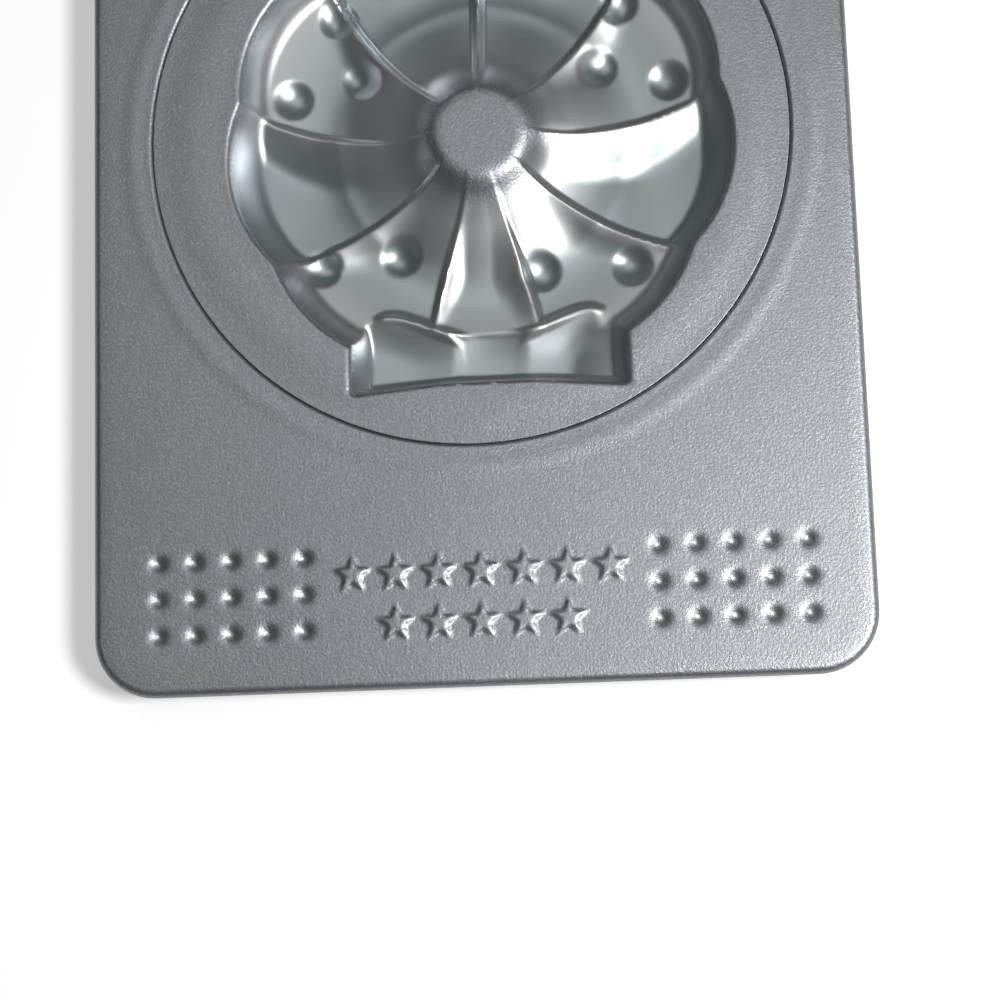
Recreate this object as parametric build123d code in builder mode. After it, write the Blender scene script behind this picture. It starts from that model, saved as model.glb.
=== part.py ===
from build123d import *
from math import cos, radians, sin, tan
import os

# Cookie mould pan: a pressed steel frame with a rim rolled round a wire, and a
# round wreath mould whose edge is clinched round the collar of the frame's hole.
# The pan lies flat, label band towards -Y, and stands on the floor of its mould.
# All sizes are in millimetres.

# Sheet and overall outline
sheet_thickness = 0.6
pan_width = 151.0
pan_length = 186.0
corner_radius = 12.0

# Rim, rolled under round a wire
wire_radius = 1.0
wire_gap = 0.05

# Round mould: its seam circle, and where its centre lies from the south edge
mould_radius = 63.5
label_band = 47.0
flange_drop = 0.35

# Clinched seam under the circle
collar_depth = 3.4
seam_gap = 0.1
hook_height = 1.9
bend_radius = 1.0
bend_facets = 2
hook_facets = 2
curl_facets = 9

# Wreath relief, depths measured down from the flange
deep_depth = 11.2
shallow_depth = 8.8
ribbon_depth = 8.4
crest_depth = 6.2
wall_draft = 20.0
eye_draft = 38.0
figure_shift = 2.0
eye_radius = 9.5
wreath_radius = 46.6
leaf_radius = 48.4
leaf_bulge = 2.2
leaf_lap = 1.5
leaf_sag = 3.6
leaf_root = 5.0
leaf_middle = 32.0
berry_radius = 4.4

# Bow at the foot of the wreath: distances of its loops from the mould's centre,
# at flange level, and the square knot between them
bow_x = 2.6
bow_top = 35.6
bow_bottom = 52.8
bow_waist_top = 40.8
bow_waist_bottom = 51.2
bow_waist = 2.2
bow_reach = 27.2
bow_corner = 3.6
knot_half = 7.4
knot_top = 37.6
knot_bottom = 51.4
knot_depth = 9.8
bow_ridge = 1.0

# Grip dimples beside the label
dimple_pitch = 7.1
dimple_columns = 5
dimple_rows = 3
dimple_inner_x = 34.3
dimple_first_row = 84.7
dimple_radius = 1.9
dimple_floor_radius = 0.8
dimple_depth = 1.0
dimple_facets = 8

# Two rows of stars pressed up in the label band: distance of each row from the
# mould's centre, and its number of stars
star_radius = 3.4
star_waist = 1.6
star_height = 0.5
star_pitch = 8.3
star_rows = ((88.2, 7), (98.0, 5))

# Heights above the surface that the pan stands on, and the mould's centre
flange_top = deep_depth + sheet_thickness
sheet_top = flange_top + flange_drop
mould_y = -pan_length / 2 + label_band + mould_radius
curl_radius = wire_radius + wire_gap + sheet_thickness
curl_z = sheet_top - curl_radius
path_corner = corner_radius - curl_radius

# Leaves up each side of the wreath: the angle from its foot where each one ends,
# the depth of its floor, and how far its far side bows towards the foot
ribbon_edge = 15.5
leaves = (
    (59.0, shallow_depth, -leaf_sag),
    (100.0, deep_depth, -leaf_sag),
    (140.0, shallow_depth, -leaf_sag),
    (180.0, deep_depth, 0),
)

# Berries: angle from the foot of the wreath towards +X, and radius
lower_berries = ((-53.0, 41.0), (-36.0, 28.5), (22.0, 29.6), (47.0, 40.0))
upper_berries = ((106.0, 39.5), (121.0, 28.0), (134.0, 39.5))
berries = lower_berries + upper_berries + tuple((-turn, reach) for turn, reach in upper_berries)


def foot_point(angle, radius):
    """A point of the wreath, by its angle from the foot and its radius."""
    turn = radians(angle)
    return (figure_shift + radius * sin(turn), mould_y - radius * cos(turn))


def well_under(face, depth, grow):
    """A drafted well hanging from an outline at flange level."""
    with BuildPart() as well:
        with BuildSketch(Plane.XY.offset(flange_top)):
            add(face)
            if grow:
                offset(amount=grow / cos(radians(wall_draft)), mode=Mode.REPLACE)
        extrude(amount=-(depth + grow), taper=wall_draft)
    return well.part


def leaf_face(start, end, start_sag, end_sag):
    """Sector of the wreath with curved sides; its point lies under the eye."""

    def rib_point(angle, radius, shift):
        x, y = foot_point(angle, radius)
        turn = radians(angle)
        return (x + shift * cos(turn), y + shift * sin(turn))

    def rib(angle, shift, sag, radii):
        first, last = (rib_point(angle, radius, shift) for radius in radii)
        if sag:
            ThreePointArc(first, rib_point(angle, leaf_middle, shift + sag), last)
        else:
            Line(first, last)

    with BuildSketch() as sector:
        with BuildLine():
            rib(start, -leaf_lap, start_sag, (leaf_root, leaf_radius))
            ThreePointArc(
                rib_point(start, leaf_radius, -leaf_lap),
                foot_point((start + end) / 2, leaf_radius + leaf_bulge),
                rib_point(end, leaf_radius, leaf_lap),
            )
            rib(end, leaf_lap, end_sag, (leaf_radius, leaf_root))
            Line(
                rib_point(end, leaf_root, leaf_lap),
                rib_point(start, leaf_root, -leaf_lap),
            )
        make_face()
    return sector.sketch


def bow_face(side):
    """Mouth of one loop of the bow."""
    with BuildSketch() as loop:
        with BuildLine():
            FilletPolyline(
                (bow_x + side * bow_waist, mould_y - bow_waist_top),
                (bow_x + side * bow_reach, mould_y - bow_top),
                (bow_x + side * bow_reach, mould_y - bow_bottom),
                (bow_x + side * bow_waist, mould_y - bow_waist_bottom),
                radius=bow_corner,
                close=True,
            )
        make_face()
    return loop.sketch


def knot_face():
    """Mouth of the knot between the loops."""
    with BuildSketch() as knot:
        with Locations((bow_x, mould_y - (knot_top + knot_bottom) / 2)):
            RectangleRounded(2 * knot_half, knot_bottom - knot_top, bow_corner)
    return knot.sketch


def ridge_under(face, grow):
    """Metal left standing round an outline: it widens downwards from the crest."""
    spread = tan(radians(wall_draft))
    narrow = crest_depth * spread - bow_ridge + grow / cos(radians(wall_draft))
    with BuildPart() as ridge:
        with BuildSketch(Plane.XY.offset(flange_top - crest_depth - grow)):
            add(face)
            offset(amount=-narrow, mode=Mode.REPLACE)
        extrude(amount=-(deep_depth - crest_depth), taper=-wall_draft)
    return ridge.part


def wreath_body(grow):
    """The cookie's own shape hung from flange level, grown on every side by grow."""
    side_grow = grow / cos(radians(wall_draft))
    spread = tan(radians(wall_draft))
    with BuildPart() as body:
        with BuildSketch(Plane.XY.offset(flange_top)):
            with Locations((figure_shift, mould_y)):
                Circle(wreath_radius + side_grow)
        extrude(amount=-(crest_depth + grow), taper=wall_draft)
        ribbon = leaf_face(-ribbon_edge, ribbon_edge, 0, 0)
        add(well_under(ribbon, ribbon_depth, grow))
        for side in (-1, 1):
            start = ribbon_edge
            start_sag = 0
            for end, depth, sag in leaves:
                ends = ((side * start, side * start_sag), (side * end, side * sag))
                low, high = sorted(ends)
                leaf = leaf_face(low[0], high[0], low[1], high[1])
                add(well_under(leaf, depth, grow))
                start = end
                start_sag = sag
        for side in (-1, 1):
            add(ridge_under(bow_face(side), grow), mode=Mode.SUBTRACT)
        drop = deep_depth + grow
        eye = eye_radius - grow / cos(radians(eye_draft))
        foot = eye + drop * tan(radians(eye_draft))
        with Locations((figure_shift, mould_y, flange_top - drop / 2)):
            Cone(foot, eye, drop, mode=Mode.SUBTRACT)
        add(well_under(knot_face(), knot_depth, grow))
        for side in (-1, 1):
            add(well_under(bow_face(side), deep_depth, grow))
        low = deep_depth + grow
        wide = berry_radius + side_grow
        narrow = wide - (low - crest_depth) * spread
        for place in berries:
            x, y = foot_point(*place)
            with Locations((x, y, flange_top - (low + crest_depth) / 2)):
                Cone(narrow, wide, low - crest_depth)
    return body.part


def bend_points(centre, radius, start, turn, facets):
    """Corners of a bend, as (outwards, up) pairs; its facets stand for the arc."""
    points = []
    for step in range(facets + 1):
        angle = radians(start + turn * step / facets)
        points.append((centre[0] + radius * cos(angle), centre[1] + radius * sin(angle)))
    return points


def dimple_cup(low_radius, high_radius, height):
    """Many-sided cup, centred on its height."""
    with BuildPart() as cup:
        with BuildSketch(Plane.XY.offset(-height / 2)):
            RegularPolygon(low_radius, dimple_facets)
        with BuildSketch(Plane.XY.offset(height / 2)):
            RegularPolygon(high_radius, dimple_facets)
        loft(ruled=True)
    return cup.part


def rounded_outline(inset):
    """Rounded rectangle of the pan, moved in from its outer edge."""
    RectangleRounded(
        pan_width - 2 * inset,
        pan_length - 2 * inset,
        corner_radius - inset,
    )


def star_face(radius, waist):
    """Five-pointed star standing upright."""
    corners = []
    for step in range(10):
        reach = radius if step % 2 == 0 else waist
        turn = radians(90 + 36 * step)
        corners.append((reach * cos(turn), reach * sin(turn)))
    with BuildSketch() as star:
        with BuildLine():
            Polyline(*corners, close=True)
        make_face()
    return star.sketch


# Places of the dimples on both sides of the label, and of the stars
dimple_x = [dimple_inner_x + column * dimple_pitch for column in range(dimple_columns)]
dimple_x = [side * x for x in dimple_x for side in (-1, 1)]
dimple_y = [mould_y - dimple_first_row - row * dimple_pitch for row in range(dimple_rows)]
dimple_places = [(x, y) for x in dimple_x for y in dimple_y]
star_places = []
for drop, count in star_rows:
    for place in range(count):
        star_places.append(((place - (count - 1) / 2) * star_pitch, mould_y - drop))

# Frame: flat sheet with its rim rolled under and a collar turned down at the hole
with BuildPart() as frame_sheet:
    with BuildSketch(Plane.XY.offset(sheet_top)):
        rounded_outline(curl_radius)
        with Locations((0, mould_y)):
            Circle(mould_radius + bend_radius, mode=Mode.SUBTRACT)
    extrude(amount=-sheet_thickness)

    # Stars pressed up, hollow beneath
    star_inset = sheet_thickness / 2
    with BuildSketch(Plane.XY.offset(sheet_top)):
        with Locations(*star_places):
            add(star_face(star_radius, star_waist))
    extrude(amount=star_height)
    with BuildSketch(Plane.XY.offset(sheet_top - sheet_thickness)):
        with Locations(*star_places):
            add(star_face(star_radius - star_inset, star_waist - star_inset))
    extrude(amount=star_height, mode=Mode.SUBTRACT)

    # Grip dimples pressed down: skin first, then the hollow
    skin = sheet_thickness * 0.8
    under = dimple_depth + sheet_thickness
    with Locations(*[(x, y, sheet_top - (under + skin) / 2) for x, y in dimple_places]):
        add(dimple_cup(dimple_floor_radius + skin, dimple_radius + skin, under - skin))
    with Locations(*[(x, y, sheet_top - dimple_depth / 2) for x, y in dimple_places]):
        add(
            dimple_cup(dimple_floor_radius, dimple_radius, dimple_depth),
            mode=Mode.SUBTRACT,
        )

    # Collar of the round hole, with its rolled shoulder
    inner_bend = bend_radius - sheet_thickness
    collar_end = sheet_top - collar_depth
    shoulder = (mould_radius + bend_radius, sheet_top - bend_radius)
    collar = bend_points(shoulder, bend_radius, 90, 90, bend_facets)
    collar.append((mould_radius, collar_end))
    collar.append((mould_radius + sheet_thickness, collar_end))
    collar += bend_points(shoulder, inner_bend, 180, -90, bend_facets)
    with BuildSketch(Plane.XZ.offset(-mould_y)):
        with BuildLine():
            Polyline(*collar, close=True)
        make_face()
    revolve(axis=Axis((0, mould_y, 0), (0, 0, 1)), revolution_arc=360)

    # Rolled rim, open on its inner upper quarter
    half_x = pan_width / 2 - curl_radius
    half_y = pan_length / 2 - curl_radius
    turn_x = half_x - path_corner
    turn_y = half_y - path_corner
    curl = bend_points((0, 0), curl_radius, -180, 270, curl_facets)
    curl += bend_points((0, 0), curl_radius - sheet_thickness, 90, -270, curl_facets)
    with BuildLine(Plane.XY.offset(curl_z)) as rim_path:
        Line((0, -half_y), (turn_x, -half_y))
        CenterArc((turn_x, -turn_y), path_corner, -90, 90)
        Line((half_x, -turn_y), (half_x, turn_y))
        CenterArc((turn_x, turn_y), path_corner, 0, 90)
        Line((turn_x, half_y), (-turn_x, half_y))
        CenterArc((-turn_x, turn_y), path_corner, 90, 90)
        Line((-half_x, turn_y), (-half_x, -turn_y))
        CenterArc((-turn_x, -turn_y), path_corner, 180, 90)
        Line((-turn_x, -half_y), (0, -half_y))
    with BuildSketch(Plane((0, -half_y, curl_z), x_dir=(0, -1, 0), z_dir=(1, 0, 0))):
        with BuildLine():
            Polyline(*curl, close=True)
        make_face()
    sweep(path=rim_path.line)
frame_sheet.part.label = "frame_sheet"

# Steel wire inside the rolled rim
with BuildPart() as rim_wire:
    with BuildSketch(Plane((0, -half_y, curl_z), x_dir=(0, -1, 0), z_dir=(1, 0, 0))):
        RegularPolygon(wire_radius, 2 * curl_facets)
    sweep(path=rim_path.line)
rim_wire.part.label = "rim_wire"

# Mould: flange, wreath well, and the lip hooked round the collar
with BuildPart() as mold_insert:
    lip_radius = mould_radius - seam_gap
    with BuildSketch(Plane.XY.offset(flange_top)):
        with Locations((0, mould_y)):
            Circle(lip_radius - bend_radius)
    extrude(amount=-sheet_thickness)
    add(wreath_body(sheet_thickness))
    add(wreath_body(0), mode=Mode.SUBTRACT)
    lip_bend = (lip_radius - bend_radius, flange_top - bend_radius)
    hook = (mould_radius + sheet_thickness / 2, collar_end)
    hook_in = sheet_thickness / 2 + seam_gap
    hook_out = hook_in + sheet_thickness
    lip = bend_points(lip_bend, bend_radius, 90, -90, bend_facets)
    lip += bend_points(hook, hook_in, 180, 180, hook_facets)
    lip.append((hook[0] + hook_in, collar_end + hook_height))
    lip.append((hook[0] + hook_out, collar_end + hook_height))
    lip += bend_points(hook, hook_out, 0, -180, hook_facets)
    lip += bend_points(lip_bend, inner_bend, 0, 90, bend_facets)
    with BuildSketch(Plane.XZ.offset(-mould_y)):
        with BuildLine():
            Polyline(*lip, close=True)
        make_face()
    revolve(axis=Axis((0, mould_y, 0), (0, 0, 1)), revolution_arc=360)
mold_insert.part.label = "mold_insert"

os.makedirs("parts", exist_ok=True)
export_step(frame_sheet.part, "parts/frame_sheet.step")
export_step(rim_wire.part, "parts/rim_wire.step")
export_step(mold_insert.part, "parts/mold_insert.step")
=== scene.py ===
from math import atan2, cos, degrees, exp, hypot, pi, radians, sin, tan

import bmesh
import bpy
from mathutils import Matrix, Vector


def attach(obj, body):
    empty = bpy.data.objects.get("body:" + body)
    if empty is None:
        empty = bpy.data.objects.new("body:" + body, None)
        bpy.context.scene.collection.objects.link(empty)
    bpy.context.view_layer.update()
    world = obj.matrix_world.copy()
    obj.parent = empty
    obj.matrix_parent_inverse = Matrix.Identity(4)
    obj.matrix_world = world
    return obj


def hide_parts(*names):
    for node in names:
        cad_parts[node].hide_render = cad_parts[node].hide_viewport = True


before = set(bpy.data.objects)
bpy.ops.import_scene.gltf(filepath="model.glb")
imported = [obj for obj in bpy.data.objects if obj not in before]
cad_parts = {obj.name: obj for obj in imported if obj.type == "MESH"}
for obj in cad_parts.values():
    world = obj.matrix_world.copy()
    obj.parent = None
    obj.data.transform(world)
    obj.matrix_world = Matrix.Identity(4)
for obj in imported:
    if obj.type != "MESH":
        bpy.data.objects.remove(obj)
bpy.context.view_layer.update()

MM = 0.001

# Pan, in millimetres, as in the part
SHEET = 0.6
PAN_WIDTH = 151.0
PAN_LENGTH = 186.0
CORNER_RADIUS = 12.0
CURL_RADIUS = 1.65
SHEET_TOP = 12.15
FLANGE_TOP = 11.8
MOULD_RADIUS = 63.5
MOULD_Y = 17.5
COLLAR_DEPTH = 3.4
SEAM_GAP = 0.1
HOOK_HEIGHT = 1.9
LIP_EDGE = 0.18
COLLAR_EDGE = 0.8

# Flat strips that join the pressed pieces of the frame
RIM_STRIP = 2.6
COLLAR_REACH = 70.5
BEAD_HEIGHT = 0.1
FLANGE_REACH = 61.8
CROWN_RADIUS = 55.5
CROWN_WIDTH = 6.3
CROWN_HEIGHT = 0.15
RIM_TURN_STEPS = 12
RING_STEPS = 288
MOULD_STEPS = 512
MOULD_RINGS = ((0.0, 1.5, 12), (18.0, 0.84, 18), (33.0, 0.465, 61))
FLANGE_EDGE = 0.5
MERGE = 0.001
FLAT_FACE = 0.9
SHARP_ANGLE = 50
LIP_LAND = 0.1
LIP_STEPS = 6
HOOK_STEPS = 8
COLLAR_LAND = 0.1
COLLAR_STEPS = 8
BEAD_STEPS = 14
BEAD_PITCH = 0.4
CURL_TURN = 270
CURL_STEPS = 26
PLATE_REACH = 3
LABEL_HALF_X = 67.5
LABEL_LOW = -86.6
LABEL_HIGH = -61.8
LABEL_CELL = 0.42

# Wreath relief
DEEP = 11.2
SHALLOW = 8.8
RIBBON = 8.4
CREST = 6.2
SLOPE = tan(radians(20.0))
EYE_SLOPE = tan(radians(38.0))
SHIFT_X = 2.0
EYE_RADIUS = 9.5
LEAF_ROOT = 5.0
LEAF_MIDDLE = 32.0
LEAF_RADIUS = 48.4
LEAF_BULGE = 2.2
LEAF_SAG = -3.6
BASE_RADIUS = 46.6
RIBBON_EDGE = 15.5
LEAVES = (
    (59.0, SHALLOW, LEAF_SAG),
    (100.0, DEEP, LEAF_SAG),
    (140.0, SHALLOW, LEAF_SAG),
    (180.0, DEEP, 0.0),
)
LOWER_BERRIES = ((-53.0, 41.0), (-36.0, 28.5), (22.0, 29.6), (47.0, 40.0))
UPPER_BERRIES = ((106.0, 39.5), (121.0, 28.0), (134.0, 39.5))
BERRY_RADIUS = 4.0
BERRY_DEPTH = 1.3
BOW_X = 2.6
BOW_TOP = 34.9
BOW_SHOULDER_TOP = 34.3
BOW_SHOULDER = 18.5
BOW_BOTTOM = 52.8
BOW_WAIST_TOP = 40.4
BOW_WAIST = 2.2
BOW_REACH = 27.2
KNOT_HALF = 7.4
KNOT_TOP = 37.6
KNOT_BOTTOM = 51.2
BOW_RIDGE = 1.0

# Depth that stands for no recess and for no limit
NOTHING = -99.0
NO_LIMIT = 99.0

# How the press slopes and rounds the relief
WALL_FOOT = 8.5
RIDGE_CROWN = 1.1
LIP_ROUND = 1.4
RIB_TOP = 6.3
RIB_EASY = 2.2
RIBBON_LEFT = 1.0
RIBBON_RIGHT = 1.8
RIBBON_BLEND = 4.0
RIBBON_FOOT = 2.2
RIB_MEET = 1.2
RIB_STEEP = 0.45
RIB_STEP = 2.6
RIB_APRON = 9.0
RIB_APRON_BEND = 1.0
RIB_FOOT = 1.2
DISH_RADIUS = 30.0
DISH_SLOPE = 0.36
DISH_BEND = 5.0
RIB_FADE = 2.2
RIB_FADE_START = 29.0
RIB_FADE_WIDTH = 11.0
BRIM_RADIUS = 33.0
BRIM_SLOPE = 0.18
BRIM_BEND = 6.0
EYE_FOOT = 2.6
LEAF_MARGIN = 25
BOW_FLANK = 0.7
BOW_FADE = 22.0
BOW_FADE_BEND = 1.5
BOW_MEET = 1.0
BOW_START = -25
BOW_DROP = 1.7
BOW_EASY = 3.6
BOW_LAST = 1.7
BOW_RUN_UP = 12.0
BOW_FLOOR_BEND = 1.0
BOW_RIDGE_FOOT = 1.4
BOW_GROUND_FOOT = 1.2
BOW_CREASE = 14.5
BOW_RISE_LEFT = 0.06
BOW_RISE_RIGHT = 0.26
BOW_BEND = 2.0
BOW_END_FOOT = 1.6
BOW_LOW_SLOPE = 0.28
BOW_LOW_FOOT = 3.0
NOTCH_BOTTOM = 50.5
KNOT_FLOOR = 8.5
KNOT_HOLLOW = 0.45
KNOT_LIFT = 2.2
KNOT_LIFT_START = 46.5
KNOT_LIFT_RUN = 8.9
KNOT_EASY = 12.0
KNOT_EDGE = 7.0
KNOT_SIDE = 1.0
KNOT_FOOT = 1.6
KNOT_SIDE_FOOT = 1.5
KNOT_BESIDE_BEND = 1.0
KNOT_LAP = 0.8
KNOT_CROWN = 0.15
BERRY_REACH = 6
BERRY_BEND = 0.3

# Grip dimples and stars
DIMPLE_PITCH = 7.1
DIMPLE_COLUMNS = 5
DIMPLE_ROWS = 3
DIMPLE_INNER_X = 34.3
DIMPLE_FIRST_ROW = 84.7
DIMPLE_RADIUS = 1.35
DIMPLE_DEPTH = 0.85
STAR_RADIUS = 3.4
STAR_WAIST = 1.6
STAR_HEIGHT = 0.5
STAR_LAND = 0.25
STAR_FOOT = 0.25
STAR_FLANK = 1.1
STAR_BEND = 0.3
STAR_REACH = 5
STAR_POINTS_TURN = 72
STAR_PITCH = 8.3
STAR_ROWS = ((88.2, 7), (98.0, 5))

# Camera: the photograph's viewpoint, from a fit to the seam circle and the dimples
LENS = 86.4
SENSOR_WIDTH = 36.0
NEAREST = 0.01
CAMERA_PLACE = (34.2, -137.49, 467.1)
CAMERA_AXES = (
    (0.997, -0.02997, -0.07132),
    (0.04181, 0.98442, 0.17081),
    (0.06509, -0.17328, 0.98272),
)


def soft_min(a, b, width):
    gap = width - abs(a - b)
    if gap <= 0:
        return min(a, b)
    return min(a, b) - gap * gap / (4 * width)


def soft_max(a, b, width):
    return -soft_min(-a, -b, width)


def rib_distance(angle, radius, rib, sag):
    """Distance past a leaf's rib, along the turn away from the wreath's foot."""
    span = (LEAF_MIDDLE - LEAF_ROOT) * (LEAF_RADIUS - LEAF_MIDDLE)
    bow = sag * (radius - LEAF_ROOT) * (LEAF_RADIUS - radius) / span
    return radius * sin(radians(angle - rib)) - bow


def dish(radius):
    """How far the wreath's floor rises towards the eye."""
    return soft_max(DISH_RADIUS - radius, 0.0, DISH_BEND) * DISH_SLOPE


def rib_fade(radius):
    """How far the ribs sink into the floor towards the eye."""
    share = (RIB_FADE_START - radius) / RIB_FADE_WIDTH
    return RIB_FADE * min(1.0, max(0.0, share))


def easy_flank(distance, top, run):
    """Gentle side of a rib."""
    return top + distance / run


def steep_flank(distance, top):
    """Steep side of a rib, with a low apron at its foot."""
    apron = top + RIB_STEP + distance / RIB_APRON
    return soft_min(top + distance / RIB_STEEP, apron, RIB_APRON_BEND)


def ribbon_run(dx):
    """Run of the ribbon's flanks: short on the left, long on the right."""
    share = min(1.0, max(0.0, (dx + RIBBON_BLEND) / (2 * RIBBON_BLEND)))
    return RIBBON_LEFT + (RIBBON_RIGHT - RIBBON_LEFT) * share * share * (3 - 2 * share)


def leaf_well(angle, radius, start, end, depth, run=None):
    """Depth of one leaf; start and end are (angle, sag) of its two ribs."""
    middle = (start[0] + end[0]) / 2
    half = (end[0] - start[0]) / 2
    if abs(angle - middle) > half + LEAF_MARGIN:
        return NOTHING
    across = (angle - middle) / half
    outer = LEAF_RADIUS + LEAF_BULGE * (1 - across * across)
    first = rib_distance(angle, radius, *start)
    last = -rib_distance(angle, radius, *end)
    top = RIB_TOP + rib_fade(radius)
    first = easy_flank(first, top, run) if run else steep_flank(first, top)
    last = easy_flank(last, top, run or RIB_EASY) if end[0] < 180 else steep_flank(last, top)
    brim = soft_max(radius - BRIM_RADIUS, 0.0, BRIM_BEND) * BRIM_SLOPE
    foot = RIBBON_FOOT if run else RIB_FOOT
    leaf = soft_min(soft_min(first, last, RIB_MEET), depth - brim, foot) - dish(radius)
    return soft_min((outer - radius) / SLOPE, leaf, WALL_FOOT)


def edge_distance(x, y, start, end):
    """Distance to the left of the line from start to end."""
    run = (end[0] - start[0], end[1] - start[1])
    long = hypot(*run)
    return (run[0] * (y - start[1]) - run[1] * (x - start[0])) / long


def berry_places():
    """Middles of the berries, from the wreath's centre."""
    places = LOWER_BERRIES + UPPER_BERRIES
    places += tuple((-turn, reach) for turn, reach in UPPER_BERRIES)
    return [
        (reach * sin(radians(turn)), -reach * cos(radians(turn))) for turn, reach in places
    ]


def under_ridge(inside):
    """Bow's floor: a gentle fall from the ridge over it, then a slight rise."""
    away = inside - CREST * SLOPE
    fall = soft_min(away / BOW_EASY, BOW_LAST - away / BOW_RUN_UP, BOW_FLOOR_BEND)
    return CREST + BOW_DROP + fall


def below_crest(out, y):
    """Distance below the crest over a loop; out is the distance from the knot's middle."""
    shoulder = (BOW_SHOULDER, -BOW_SHOULDER_TOP)
    return soft_min(
        edge_distance(out, y, (BOW_REACH, -BOW_TOP), shoulder),
        edge_distance(out, y, shoulder, (BOW_WAIST, -BOW_WAIST_TOP)),
        BOW_MEET,
    )


def loop_depth(x, y, side):
    """Depth of one loop of the bow; it runs on under the knot."""
    out = side * (x - BOW_X)
    if out < -BOW_REACH:
        return NOTHING
    tip_bottom = (BOW_REACH, -BOW_BOTTOM)
    low = edge_distance(out, y, (BOW_WAIST, -NOTCH_BOTTOM), tip_bottom)
    end = edge_distance(out, y, tip_bottom, (BOW_REACH, -BOW_TOP))
    high = below_crest(out, y)
    slant = BOW_RISE_RIGHT if side > 0 else BOW_RISE_LEFT
    rise = soft_max(out - BOW_CREASE, 0.0, BOW_BEND) * slant
    floor = soft_min(high / SLOPE, under_ridge(high) - rise, BOW_RIDGE_FOOT)
    floor = soft_min(low / BOW_LOW_SLOPE, floor, BOW_LOW_FOOT)
    return soft_min(end / SLOPE, floor, BOW_END_FOOT)


def bow_ground(x, y, side):
    """How deep the leaves may be where they meet the ridge over a loop."""
    out = side * (x - BOW_X)
    if out < 0:
        return NO_LIMIT
    fade = soft_max(out - BOW_FADE, 0.0, BOW_FADE_BEND)
    above = CREST * SLOPE - below_crest(out, y) - BOW_RIDGE
    return RIB_TOP + max(0.0, above / BOW_FLANK) + fade


def knot_floor(x, y):
    """Hollow floor of the knot, which rises to its top and its two sides."""
    across = (x - BOW_X) / KNOT_HALF
    up = max(0.0, y + KNOT_LIFT_START) / KNOT_LIFT_RUN
    return KNOT_FLOOR - KNOT_HOLLOW * min(1.0, across * across) - KNOT_LIFT * up * up


def knot_depth(x, y):
    """Depth of the knot's own outline."""
    sides = KNOT_HALF - abs(x - BOW_X)
    top = -KNOT_TOP - y
    floor = soft_min(top / SLOPE, knot_floor(x, y), KNOT_FOOT)
    floor = soft_min((y + KNOT_BOTTOM) / BOW_LOW_SLOPE, floor, BOW_LOW_FOOT)
    return soft_min(KNOT_EDGE + sides / KNOT_SIDE, floor, KNOT_SIDE_FOOT)


def with_bow(depth, x, y):
    """Press the bow and its knot into the wreath."""
    for side in (-1, 1):
        depth = soft_min(depth, bow_ground(x, y, side), BOW_GROUND_FOOT)
    bow = soft_max(loop_depth(x, y, -1), loop_depth(x, y, 1), BOW_MEET)
    beside = soft_max(abs(x - BOW_X) - KNOT_HALF, 0.0, KNOT_BESIDE_BEND) / KNOT_EASY
    bow = soft_min(bow, knot_floor(x, y) + beside, KNOT_LAP)
    bow = soft_max(bow, knot_depth(x, y), KNOT_CROWN)
    return soft_max(depth, bow, RIDGE_CROWN)


BERRY_PLACES = berry_places()


def with_berries(depth, dx, y):
    """Press the berries into the wreath."""
    for bx, by in BERRY_PLACES:
        away = hypot(dx - bx, y - by)
        if away < BERRY_REACH:
            dent = soft_max(1 - (away / BERRY_RADIUS) ** 2, 0.0, BERRY_BEND)
            depth += BERRY_DEPTH * dent * min(1.0, max(0.0, depth / RIB_TOP))
    return depth


def wreath_depth(x, y):
    """Depth of the pressed wreath below the flange, from the mould's centre."""
    dx = x - SHIFT_X
    radius = hypot(dx, y)
    angle = degrees(atan2(abs(dx), -y))
    crest = CREST + rib_fade(radius) - dish(radius)
    depth = soft_min((BASE_RADIUS - radius) / SLOPE, crest, WALL_FOOT)
    depth = soft_max(
        depth,
        leaf_well(
            angle, radius, (-RIBBON_EDGE, 0.0), (RIBBON_EDGE, 0.0), RIBBON, ribbon_run(dx)
        ),
        RIDGE_CROWN,
    )
    start = (RIBBON_EDGE, 0.0)
    for rib, floor, sag in LEAVES:
        end = (rib, sag)
        depth = soft_max(depth, leaf_well(angle, radius, start, end, floor), RIDGE_CROWN)
        start = end
    depth = soft_min(depth, (radius - EYE_RADIUS) / EYE_SLOPE, EYE_FOOT)
    if y < BOW_START:
        depth = with_bow(depth, x, y)
    return soft_max(with_berries(depth, dx, y), 0.0, LIP_ROUND)


def star_distance(x, y):
    """Distance inside a five-pointed star that stands upright."""
    radius = hypot(x, y)
    half_turn = STAR_POINTS_TURN / 2
    turn = abs((degrees(atan2(x, y)) + half_turn) % STAR_POINTS_TURN - half_turn)
    px = radius * cos(radians(turn))
    py = radius * sin(radians(turn))
    tip = (STAR_RADIUS, 0.0)
    waist = (STAR_WAIST * cos(radians(half_turn)), STAR_WAIST * sin(radians(half_turn)))
    return -edge_distance(px, py, waist, tip)


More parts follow.
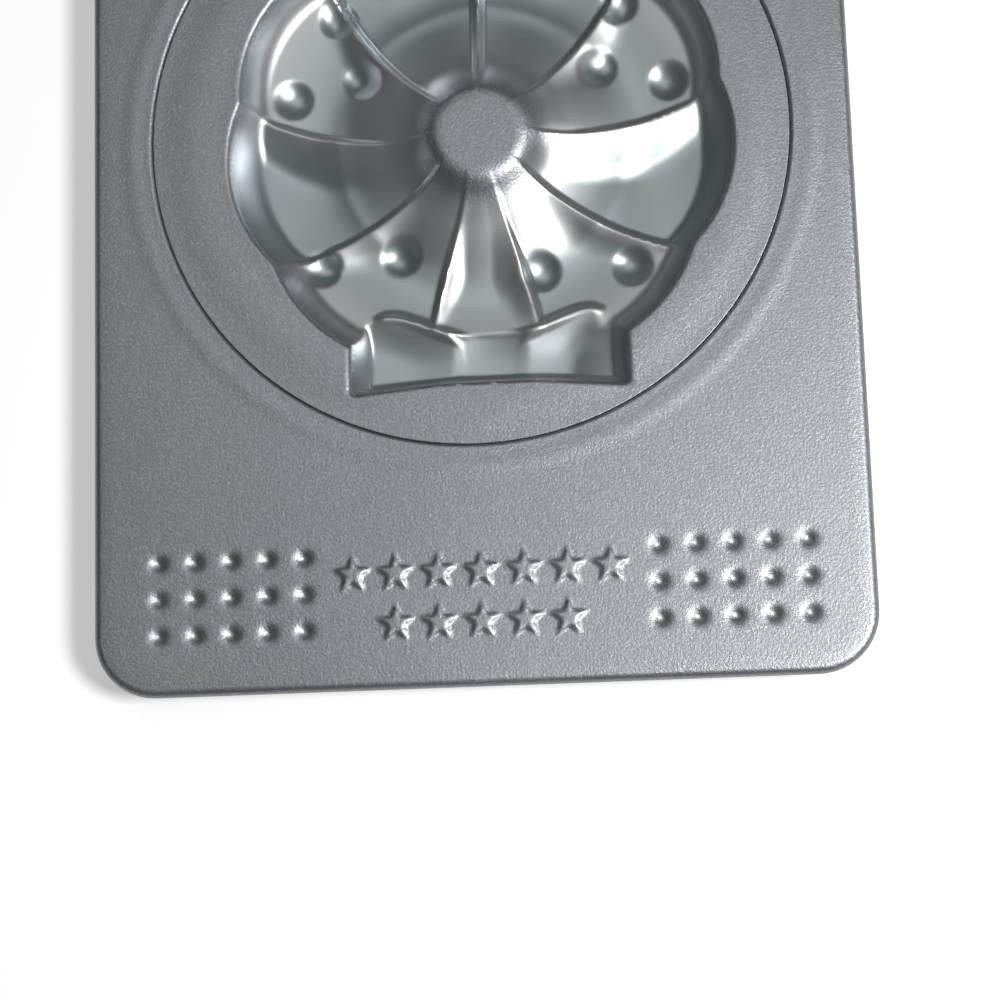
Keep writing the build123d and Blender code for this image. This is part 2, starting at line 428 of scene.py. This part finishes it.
def label_relief(x, y):
    """Height of the dimples and stars above the sheet, from the pan's centre."""
    height = 0.0
    column = round((abs(x) - DIMPLE_INNER_X) / DIMPLE_PITCH)
    row = round((MOULD_Y - DIMPLE_FIRST_ROW - y) / DIMPLE_PITCH)
    if 0 <= column < DIMPLE_COLUMNS and 0 <= row < DIMPLE_ROWS:
        away = hypot(
            abs(x) - DIMPLE_INNER_X - column * DIMPLE_PITCH,
            y - (MOULD_Y - DIMPLE_FIRST_ROW - row * DIMPLE_PITCH),
        )
        height = -DIMPLE_DEPTH * exp(-((away / DIMPLE_RADIUS) ** 2))
    for drop, count in STAR_ROWS:
        place = round(x / STAR_PITCH + (count - 1) / 2)
        if 0 <= place < count and abs(y - (MOULD_Y - drop)) < STAR_REACH:
            inside = star_distance(
                x - (place - (count - 1) / 2) * STAR_PITCH,
                y - (MOULD_Y - drop),
            )
            raised = soft_min((inside + STAR_LAND) * STAR_FLANK, STAR_HEIGHT, STAR_BEND)
            height = soft_max(raised, 0.0, STAR_FOOT)
    return height


def new_piece(name, bm, material, node):
    """Turn a bmesh in millimetres into a thick sheet piece that stands for a node."""
    bmesh.ops.scale(bm, vec=(MM, MM, MM), verts=bm.verts)
    mesh = bpy.data.meshes.new(name)
    bm.to_mesh(mesh)
    bm.free()
    piece = bpy.data.objects.new(name, mesh)
    bpy.context.scene.collection.objects.link(piece)
    wall = piece.modifiers.new("wall", "SOLIDIFY")
    wall.thickness = SHEET * MM
    wall.offset = -1
    graph = bpy.context.evaluated_depsgraph_get()
    thick = bpy.data.meshes.new_from_object(piece.evaluated_get(graph))
    thick.name = name
    piece.modifiers.clear()
    piece.data = thick
    thick.shade_smooth()
    thick.set_sharp_from_angle(angle=radians(SHARP_ANGLE))
    thick.materials.clear()
    thick.materials.append(material)
    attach(piece, "root")
    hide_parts(node)


def face_up(bm):
    """Point the sheet's faces upwards, judged by its flat faces."""
    bmesh.ops.recalc_face_normals(bm, faces=bm.faces)
    flat = [face for face in bm.faces if abs(face.normal.z) > FLAT_FACE]
    if sum(face.normal.z * face.calc_area() for face in flat) < 0:
        bmesh.ops.reverse_faces(bm, faces=bm.faces)


def arc(centre, radius, start, turn, steps):
    """Points of an arc as (outwards, height) pairs."""
    points = []
    for step in range(steps + 1):
        angle = radians(start + turn * step / steps)
        points.append((centre[0] + radius * cos(angle), centre[1] + radius * sin(angle)))
    return points


def chain(bm, points):
    """A chain of edges through points."""
    verts = [bm.verts.new(point) for point in points]
    edges = [bm.edges.new(pair) for pair in zip(verts, verts[1:])]
    return verts + edges


def lathe(profile, steps):
    """Spin a profile of (radius, height) pairs about the mould's centre."""
    bm = bmesh.new()
    line = chain(bm, [(radius, 0.0, height) for radius, height in profile])
    bmesh.ops.spin(
        bm, geom=line, cent=(0, 0, 0), axis=(0, 0, 1), angle=2 * pi, steps=steps, use_merge=True
    )
    bmesh.ops.remove_doubles(bm, verts=bm.verts, dist=MERGE)
    bmesh.ops.translate(bm, vec=(0, MOULD_Y, 0), verts=bm.verts)
    return bm


def flange_height(radius):
    """Height of the mould's gently crowned flange."""
    away = (radius - CROWN_RADIUS) / CROWN_WIDTH
    return FLANGE_TOP + CROWN_HEIGHT * max(0.0, 1 - away * away) ** 2


def make_mould(material):
    """Pressed wreath mould."""
    rings = [first + step * gap for first, gap, count in MOULD_RINGS for step in range(count)]
    rings.append(FLANGE_REACH)
    bm = lathe([(radius, flange_height(radius)) for radius in rings], MOULD_STEPS)
    face_up(bm)
    for vert in bm.verts:
        x, y = vert.co.x, vert.co.y - MOULD_Y
        if hypot(x, y) < FLANGE_REACH - FLANGE_EDGE:
            vert.co.z -= wreath_depth(x, y)
    new_piece("wreath_mould", bm, material, "mold_insert")


def make_lip(material):
    """Edge of the mould, hooked round the frame's collar."""
    lip = MOULD_RADIUS - SEAM_GAP
    collar_end = SHEET_TOP - COLLAR_DEPTH
    hook = (MOULD_RADIUS + SHEET / 2, collar_end)
    inner = SHEET / 2 + SEAM_GAP
    land = lip - LIP_EDGE - LIP_LAND
    profile = [(reach, flange_height(reach)) for reach in (FLANGE_REACH, land)]
    profile += arc((lip - LIP_EDGE, FLANGE_TOP - LIP_EDGE), LIP_EDGE, 90, -90, LIP_STEPS)
    profile += arc(hook, inner, 180, 180, HOOK_STEPS)
    profile.append((hook[0] + inner, collar_end + HOOK_HEIGHT))
    bm = lathe(profile, RING_STEPS)
    face_up(bm)
    new_piece("mould_lip", bm, material, "mold_insert")


def make_collar(material):
    """Shoulder and collar of the frame's round hole."""
    shoulder = (MOULD_RADIUS + COLLAR_EDGE, SHEET_TOP - COLLAR_EDGE)
    profile = []
    for step in range(BEAD_STEPS + 1):
        rise = sin(pi * step / BEAD_STEPS) ** 2 * BEAD_HEIGHT
        profile.append((COLLAR_REACH - BEAD_PITCH * step, SHEET_TOP + rise))
    profile.append((shoulder[0] + COLLAR_LAND, SHEET_TOP))
    profile += arc(shoulder, COLLAR_EDGE, 90, 90, COLLAR_STEPS)
    profile.append((MOULD_RADIUS, SHEET_TOP - COLLAR_DEPTH))
    bm = lathe(profile, RING_STEPS)
    face_up(bm)
    new_piece("frame_collar", bm, material, "frame_sheet")


def make_rim(material):
    """Rolled rim with its flat strip, carried round the four sides."""
    half_x = PAN_WIDTH / 2 - CURL_RADIUS
    half_y = PAN_LENGTH / 2 - CURL_RADIUS
    turn = CORNER_RADIUS - CURL_RADIUS
    centre = (0.0, SHEET_TOP - CURL_RADIUS)
    profile = [(-RIM_STRIP, SHEET_TOP)] + arc(centre, CURL_RADIUS, 90, -CURL_TURN, CURL_STEPS)
    bm = bmesh.new()
    line = chain(bm, [(half_x + out, -half_y + turn, height) for out, height in profile])
    long = PAN_LENGTH - 2 * CORNER_RADIUS
    wide = PAN_WIDTH - 2 * CORNER_RADIUS
    corners = ((half_x - turn, half_y - turn), (turn - half_x, half_y - turn))
    corners += tuple((-x, -y) for x, y in corners)
    moves = ((0, long, 0), (-wide, 0, 0), (0, -long, 0), (wide, 0, 0))
    for (x, y), move in zip(corners, moves):
        grown = bmesh.ops.extrude_edge_only(
            bm, edges=[part for part in line if isinstance(part, bmesh.types.BMEdge)]
        )["geom"]
        verts = [part for part in grown if isinstance(part, bmesh.types.BMVert)]
        bmesh.ops.translate(bm, vec=move, verts=verts)
        kept = set(verts)
        edges = [
            part
            for part in grown
            if isinstance(part, bmesh.types.BMEdge) and kept.issuperset(part.verts)
        ]
        line = bmesh.ops.spin(
            bm,
            geom=verts + edges,
            cent=(x, y, 0),
            axis=(0, 0, 1),
            angle=pi / 2,
            steps=RIM_TURN_STEPS,
        )["geom_last"]
    bmesh.ops.remove_doubles(bm, verts=bm.verts, dist=MERGE)
    face_up(bm)
    new_piece("frame_rim", bm, material, "frame_sheet")


def trim(bm, place, normal):
    """Cut away what lies beyond a plane."""
    bmesh.ops.bisect_plane(
        bm,
        geom=bm.verts[:] + bm.edges[:] + bm.faces[:],
        plane_co=place,
        plane_no=normal,
        clear_outer=True,
    )


def make_plate(material):
    """Flat sheet between the collar, the label band and the rim."""
    half_x = PAN_WIDTH / 2 - CURL_RADIUS - RIM_STRIP
    half_y = PAN_LENGTH / 2 - CURL_RADIUS - RIM_STRIP
    turn = CORNER_RADIUS - CURL_RADIUS - RIM_STRIP
    bm = bmesh.new()
    bmesh.ops.create_circle(bm, segments=RING_STEPS, radius=COLLAR_REACH)
    grown = bmesh.ops.extrude_edge_only(bm, edges=bm.edges[:])["geom"]
    verts = [part for part in grown if isinstance(part, bmesh.types.BMVert)]
    bmesh.ops.scale(bm, vec=(PLATE_REACH, PLATE_REACH, 1), verts=verts)
    bmesh.ops.translate(bm, vec=(0, MOULD_Y, SHEET_TOP), verts=bm.verts)
    step = 90 / RIM_TURN_STEPS
    for side_x, side_y in ((1, 1), (-1, 1), (-1, -1), (1, -1)):
        trim(bm, (side_x * half_x, 0, 0), (side_x, 0, 0))
        trim(bm, (0, side_y * half_y, 0), (0, side_y, 0))
        for place in range(RIM_TURN_STEPS):
            angle = radians((place + 0.5) * step)
            reach = turn * cos(radians(step / 2))
            normal = (side_x * cos(angle), side_y * sin(angle), 0)
            trim(
                bm,
                (
                    side_x * (half_x - turn) + normal[0] * reach,
                    side_y * (half_y - turn) + normal[1] * reach,
                    0,
                ),
                normal,
            )
    for place, normal in (
        ((LABEL_HALF_X, 0, 0), (1, 0, 0)),
        ((-LABEL_HALF_X, 0, 0), (1, 0, 0)),
        ((0, LABEL_LOW, 0), (0, 1, 0)),
        ((0, LABEL_HIGH, 0), (0, 1, 0)),
    ):
        bmesh.ops.bisect_plane(
            bm, geom=bm.verts[:] + bm.edges[:] + bm.faces[:], plane_co=place, plane_no=normal
        )
    label = []
    for face in bm.faces:
        middle = face.calc_center_median()
        if abs(middle.x) < LABEL_HALF_X and LABEL_LOW < middle.y < LABEL_HIGH:
            label.append(face)
    bmesh.ops.delete(bm, geom=label, context="FACES")
    face_up(bm)
    new_piece("frame_plate", bm, material, "frame_sheet")


def make_label(material):
    """Band with the grip dimples and the stars."""
    wide = 2 * LABEL_HALF_X
    high = LABEL_HIGH - LABEL_LOW
    bm = bmesh.new()
    bmesh.ops.create_grid(
        bm, x_segments=round(wide / LABEL_CELL), y_segments=round(high / LABEL_CELL), size=0.5
    )
    bmesh.ops.scale(bm, vec=(wide, high, 1), verts=bm.verts)
    bmesh.ops.translate(
        bm, vec=(0, (LABEL_HIGH + LABEL_LOW) / 2, SHEET_TOP), verts=bm.verts
    )
    for vert in bm.verts:
        vert.co.z += label_relief(vert.co.x, vert.co.y)
    face_up(bm)
    new_piece("frame_label", bm, material, "frame_sheet")


# Coat of the pan, and of the mould's recess below the flange
FLAKES_PER_METRE = 3000.0
FLAKE_START = 0.55
CLOUDS_PER_METRE = 38.0
CLOUD_DETAIL = 5.0
GRAIN_DETAIL = 3.0
GRAIN_BREAKUP = 0.7
GRAIN_SHARE = 0.6
PAN_TONES = ((0.335, 0.35, 0.375), (0.70, 0.72, 0.75))
METAL = 0.95
SPARKLE = 0.3
SPARKLE_REST = 0.12
GRAIN = 0.38
GRAIN_HEIGHT = 0.00025
PAN_ROUGHNESS = 0.44
MOULD_ROUGHNESS = 0.42
ROUGHNESS_BELOW = 0.04
ROUGHNESS_ABOVE = 0.05
CLOUD_LOW = 0.3
CLOUD_HIGH = 0.7
# Tones of the mould's recess: its own greenish grey with painted light. The first, lighter tone
# is a painted highlight near the top of the recess; the second, darker tone is painted shade
# towards its bottom.
WELL_LIT_AND_SHADED_TONES = ((0.60, 0.61, 0.63), (0.44, 0.50, 0.51))
WELL_ROUGHNESS = 0.39
WELL_GRAIN = 0.15
WELL_MOTTLE = (0.93, 1.05)
WELL_MASK = (0.6, 5.0)
# Depths below the flange over which the recess colour passes from the painted highlight tone to
# the painted shade tone.
WELL_SHADE_DEPTHS = (6.0, 9.2)

# Wire in the rim
WIRE_TONE = 0.5
WIRE_ROUGHNESS = (0.25, 0.5)
DRAWING_MARKS_PER_METRE = 900.0


def node_at(tree, kind, x, y):
    """Add a shader node at a place on the sheet."""
    node = tree.nodes.new(kind)
    node.location = (x, y)
    return node


def flake_group():
    """Metal flakes in a baked coat: a sparkle mask and a surface height."""
    group = bpy.data.node_groups.new("metal_flakes", "ShaderNodeTree")
    face = group.interface
    face.new_socket("Position", in_out="INPUT", socket_type="NodeSocketVector")
    size = face.new_socket("Flakes per metre", in_out="INPUT", socket_type="NodeSocketFloat")
    size.default_value = FLAKES_PER_METRE
    face.new_socket("Sparkle", in_out="OUTPUT", socket_type="NodeSocketFloat")
    face.new_socket("Grain", in_out="OUTPUT", socket_type="NodeSocketFloat")
    start = node_at(group, "NodeGroupInput", -800, 0)
    end = node_at(group, "NodeGroupOutput", 600, 0)
    cells = node_at(group, "ShaderNodeTexVoronoi", -500, 200)
    cells.feature = "F1"
    grain = node_at(group, "ShaderNodeTexNoise", -500, -200)
    grain.inputs["Detail"].default_value = GRAIN_DETAIL
    grain.inputs["Roughness"].default_value = GRAIN_BREAKUP
    half = node_at(group, "ShaderNodeMath", -650, -300)
    half.operation = "MULTIPLY"
    half.inputs[1].default_value = GRAIN_SHARE
    tone = node_at(group, "ShaderNodeSeparateColor", -250, 200)
    ramp = node_at(group, "ShaderNodeMapRange", 0, 200)
    ramp.inputs["From Min"].default_value = FLAKE_START
    ramp.inputs["From Max"].default_value = 1.0
    link = group.links.new
    link(start.outputs["Position"], cells.inputs["Vector"])
    link(start.outputs["Position"], grain.inputs["Vector"])
    link(start.outputs["Flakes per metre"], cells.inputs["Scale"])
    link(start.outputs["Flakes per metre"], half.inputs[0])
    link(half.outputs[0], grain.inputs["Scale"])
    link(cells.outputs["Color"], tone.inputs["Color"])
    link(tone.outputs["Red"], ramp.inputs["Value"])
    link(ramp.outputs["Result"], end.inputs["Sparkle"])
    link(grain.outputs["Fac"], end.inputs["Grain"])
    return group


def cloud_group():
    """Slow cloudy unevenness of a baked coat."""
    group = bpy.data.node_groups.new("coat_clouding", "ShaderNodeTree")
    face = group.interface
    face.new_socket("Position", in_out="INPUT", socket_type="NodeSocketVector")
    size = face.new_socket("Clouds per metre", in_out="INPUT", socket_type="NodeSocketFloat")
    size.default_value = CLOUDS_PER_METRE
    face.new_socket("Clouding", in_out="OUTPUT", socket_type="NodeSocketFloat")
    start = node_at(group, "NodeGroupInput", -500, 0)
    end = node_at(group, "NodeGroupOutput", 200, 0)
    cloud = node_at(group, "ShaderNodeTexNoise", -200, 0)
    cloud.inputs["Detail"].default_value = CLOUD_DETAIL
    group.links.new(start.outputs["Position"], cloud.inputs["Vector"])
    group.links.new(start.outputs["Clouds per metre"], cloud.inputs["Scale"])
    group.links.new(cloud.outputs["Fac"], end.inputs["Clouding"])
    return group


def below_flange(tree, height, start, end, x, y):
    """Mask that grows from one depth under the mould's flange to another."""
    mask = node_at(tree, "ShaderNodeMapRange", x, y)
    mask.interpolation_type = "SMOOTHSTEP"
    mask.inputs["From Min"].default_value = (FLANGE_TOP - start) * MM
    mask.inputs["From Max"].default_value = (FLANGE_TOP - end) * MM
    tree.links.new(height.outputs["Z"], mask.inputs["Value"])
    return mask.outputs["Result"]


def mixed_colour(tree, low, high, factor, x, y):
    """Mix of two fixed colours."""
    mix = node_at(tree, "ShaderNodeMix", x, y)
    mix.data_type = "RGBA"
    mix.inputs["A"].default_value = (*low, 1)
    mix.inputs["B"].default_value = (*high, 1)
    tree.links.new(factor, mix.inputs["Factor"])
    return mix.outputs["Result"]


def by_clouds(tree, clouding, low, high, x, y):
    """Value that drifts with the coat's clouding."""
    drift = node_at(tree, "ShaderNodeMapRange", x, y)
    drift.inputs["From Min"].default_value = CLOUD_LOW
    drift.inputs["From Max"].default_value = CLOUD_HIGH
    drift.inputs["To Min"].default_value = low
    drift.inputs["To Max"].default_value = high
    tree.links.new(clouding, drift.inputs["Value"])
    return drift.outputs["Result"]


def in_the_well(tree, place, clouding, colour, roughness, relief):
    """Change colour, roughness and surface height where the mould is pressed down; its greenish
    grey there is painted lighter near the top as a painted highlight and darker deeper down as
    painted shade.
    """
    link = tree.links.new
    height = node_at(tree, "ShaderNodeSeparateXYZ", -1250, -500)
    link(place.outputs["Object"], height.inputs["Vector"])
    below = below_flange(tree, height, *WELL_MASK, -1000, -500)
    # Painted shade: this mask darkens the recess colour with depth, from the painted highlight
    # tone to the painted shade tone.
    deep = below_flange(tree, height, *WELL_SHADE_DEPTHS, -1000, -750)
    pressed = mixed_colour(tree, *WELL_LIT_AND_SHADED_TONES, deep, -1000, 50)
    tone = node_at(tree, "ShaderNodeVectorMath", -650, 50)
    tone.operation = "SCALE"
    link(pressed, tone.inputs["Vector"])
    link(by_clouds(tree, clouding, *WELL_MOTTLE, -1000, -250), tone.inputs["Scale"])
    inner = node_at(tree, "ShaderNodeMix", -450, 250)
    inner.data_type = "RGBA"
    link(below, inner.inputs["Factor"])
    link(colour, inner.inputs["A"])
    link(tone.outputs["Vector"], inner.inputs["B"])
    polish = node_at(tree, "ShaderNodeMix", -450, -150)
    polish.inputs["B"].default_value = WELL_ROUGHNESS
    link(below, polish.inputs["Factor"])
    link(roughness, polish.inputs["A"])
    calm = node_at(tree, "ShaderNodeMapRange", -700, -500)
    calm.inputs["To Min"].default_value = 1.0
    calm.inputs["To Max"].default_value = WELL_GRAIN
    link(below, calm.inputs["Value"])
    grainy = node_at(tree, "ShaderNodeMath", -500, -400)
    grainy.operation = "MULTIPLY"
    link(relief, grainy.inputs[0])
    link(calm.outputs["Result"], grainy.inputs[1])
    return inner.outputs["Result"], polish.outputs["Result"], grainy.outputs[0]


def coat(name, roughness, flakes, clouds, has_well):
    """Baked metallic coat on steel; has_well adds the tones of the mould's recess, lighter near
    the top as a painted highlight and darker deeper down as painted shade.
    """
    material = bpy.data.materials.new(name)
    material.use_nodes = True
    tree = material.node_tree
    shader = tree.nodes["Principled BSDF"]
    shader.inputs["Metallic"].default_value = METAL
    link = tree.links.new
    place = node_at(tree, "ShaderNodeTexCoord", -1500, 0)
    speck = node_at(tree, "ShaderNodeGroup", -1250, 200)
    speck.node_tree = flakes
    speck.inputs["Flakes per metre"].default_value = FLAKES_PER_METRE
    cloud = node_at(tree, "ShaderNodeGroup", -1250, -200)
    cloud.node_tree = clouds
    link(place.outputs["Object"], speck.inputs["Position"])
    link(place.outputs["Object"], cloud.inputs["Position"])
    clouding = cloud.outputs["Clouding"]
    amount = node_at(tree, "ShaderNodeMath", -1000, 350)
    amount.operation = "MULTIPLY_ADD"
    amount.inputs[1].default_value = SPARKLE
    amount.inputs[2].default_value = SPARKLE_REST
    link(speck.outputs["Sparkle"], amount.inputs[0])
    colour = mixed_colour(tree, *PAN_TONES, amount.outputs[0], -800, 250)
    low, high = roughness - ROUGHNESS_BELOW, roughness + ROUGHNESS_ABOVE
    rough = by_clouds(tree, clouding, low, high, -800, -150)
    relief = speck.outputs["Grain"]
    if has_well:
        colour, rough, relief = in_the_well(tree, place, clouding, colour, rough, relief)
    bump = node_at(tree, "ShaderNodeBump", -300, -350)
    bump.inputs["Strength"].default_value = GRAIN
    bump.inputs["Distance"].default_value = GRAIN_HEIGHT
    link(relief, bump.inputs["Height"])
    link(colour, shader.inputs["Base Color"])
    link(rough, shader.inputs["Roughness"])
    link(bump.outputs["Normal"], shader.inputs["Normal"])
    return material


def drawn_wire():
    """Plain drawn steel wire."""
    material = bpy.data.materials.new("drawn_wire")
    material.use_nodes = True
    tree = material.node_tree
    shader = tree.nodes["Principled BSDF"]
    shader.inputs["Base Color"].default_value = (WIRE_TONE, WIRE_TONE, WIRE_TONE, 1)
    shader.inputs["Metallic"].default_value = 1.0
    place = node_at(tree, "ShaderNodeTexCoord", -800, 0)
    draw = node_at(tree, "ShaderNodeTexNoise", -600, 0)
    draw.inputs["Scale"].default_value = DRAWING_MARKS_PER_METRE
    rough = node_at(tree, "ShaderNodeMapRange", -350, 0)
    rough.inputs["To Min"].default_value = WIRE_ROUGHNESS[0]
    rough.inputs["To Max"].default_value = WIRE_ROUGHNESS[1]
    tree.links.new(place.outputs["Object"], draw.inputs["Vector"])
    tree.links.new(draw.outputs["Fac"], rough.inputs["Value"])
    tree.links.new(rough.outputs["Result"], shader.inputs["Roughness"])
    return material


# Floor and lights, in metres
FLOOR_TONE = 0.86
FLOOR_LIFT = 0.42
FLOOR_REACH = 4.0
KEY_PLACE = (0.38, -0.16, 0.62)
KEY_AIM = (0.02, 0.0, 0.0)
KEY_SIZE = 0.16
KEY_POWER = 4.2
SKY_PLACE = (-0.06, 0.3, 0.9)
SKY_AIM = (0.0, 0.0, 0.0)
SKY_SIZE = 0.6
SKY_POWER = 0.9
ROOM_LEVEL = 0.06


def make_floor():
    """Pale floor that stays white to the camera and keeps the pan's shadow."""
    bm = bmesh.new()
    bmesh.ops.create_grid(bm, x_segments=1, y_segments=1, size=FLOOR_REACH)
    mesh = bpy.data.meshes.new("floor")
    bm.to_mesh(mesh)
    bm.free()
    floor = bpy.data.objects.new("floor", mesh)
    bpy.context.scene.collection.objects.link(floor)
    material = bpy.data.materials.new("pale_floor")
    material.use_nodes = True
    tree = material.node_tree
    shader = tree.nodes["Principled BSDF"]
    shader.inputs["Base Color"].default_value = (FLOOR_TONE, FLOOR_TONE, FLOOR_TONE, 1)
    shader.inputs["Roughness"].default_value = 1.0
    shader.inputs["Specular IOR Level"].default_value = 0.0
    path = node_at(tree, "ShaderNodeLightPath", -500, 0)
    lift = node_at(tree, "ShaderNodeMath", -300, 0)
    lift.operation = "MULTIPLY"
    lift.inputs[1].default_value = FLOOR_LIFT
    tree.links.new(path.outputs["Is Camera Ray"], lift.inputs[0])
    shader.inputs["Emission Color"].default_value = (1, 1, 1, 1)
    tree.links.new(lift.outputs[0], shader.inputs["Emission Strength"])
    mesh.materials.append(material)


def soft_box(name, place, aim, size, power):
    """Square soft light that looks at a point."""
    light = bpy.data.lights.new(name, "AREA")
    light.shape = "SQUARE"
    light.size = size
    light.energy = power
    lamp = bpy.data.objects.new(name, light)
    lamp.location = place
    lamp.rotation_euler = (Vector(aim) - Vector(place)).to_track_quat("-Z", "Y").to_euler()
    bpy.context.scene.collection.objects.link(lamp)


def light_studio():
    """Key light on the right, a large one above, and a dim room that the camera sees white."""
    soft_box("key_light", KEY_PLACE, KEY_AIM, KEY_SIZE, KEY_POWER)
    soft_box("sky_light", SKY_PLACE, SKY_AIM, SKY_SIZE, SKY_POWER)
    world = bpy.data.worlds.new("studio")
    bpy.context.scene.world = world
    world.use_nodes = True
    tree = world.node_tree
    back = tree.nodes["Background"]
    back.inputs["Color"].default_value = (1, 1, 1, 1)
    path = node_at(tree, "ShaderNodeLightPath", -600, 0)
    level = node_at(tree, "ShaderNodeMapRange", -300, 0)
    level.inputs["To Min"].default_value = ROOM_LEVEL
    level.inputs["To Max"].default_value = 1.0
    tree.links.new(path.outputs["Is Camera Ray"], level.inputs["Value"])
    tree.links.new(level.outputs["Result"], back.inputs["Strength"])


def place_camera():
    """Camera at the photograph's viewpoint."""
    camera = bpy.data.cameras.new("camera")
    camera.sensor_width = SENSOR_WIDTH
    camera.lens = LENS
    camera.clip_start = NEAREST
    eye = bpy.data.objects.new("camera", camera)
    turn = Matrix(CAMERA_AXES).transposed().to_4x4()
    eye.matrix_world = Matrix.Translation(Vector(CAMERA_PLACE) * MM) @ turn
    bpy.context.scene.collection.objects.link(eye)
    bpy.context.scene.camera = eye


def main():
    """Make the pieces, the studio and the camera."""
    scene = bpy.context.scene
    scene.view_settings.view_transform = "Standard"
    flakes = flake_group()
    clouds = cloud_group()
    pan_coat = coat("pan_coat", PAN_ROUGHNESS, flakes, clouds, has_well=False)
    mould_coat = coat("mold_coat", MOULD_ROUGHNESS, flakes, clouds, has_well=True)
    make_mould(mould_coat)
    make_lip(mould_coat)
    make_collar(pan_coat)
    make_rim(pan_coat)
    make_plate(pan_coat)
    make_label(pan_coat)
    wire = bpy.data.objects["rim_wire"]
    wire.data.materials.clear()
    wire.data.materials.append(drawn_wire())
    make_floor()
    light_studio()
    place_camera()


main()
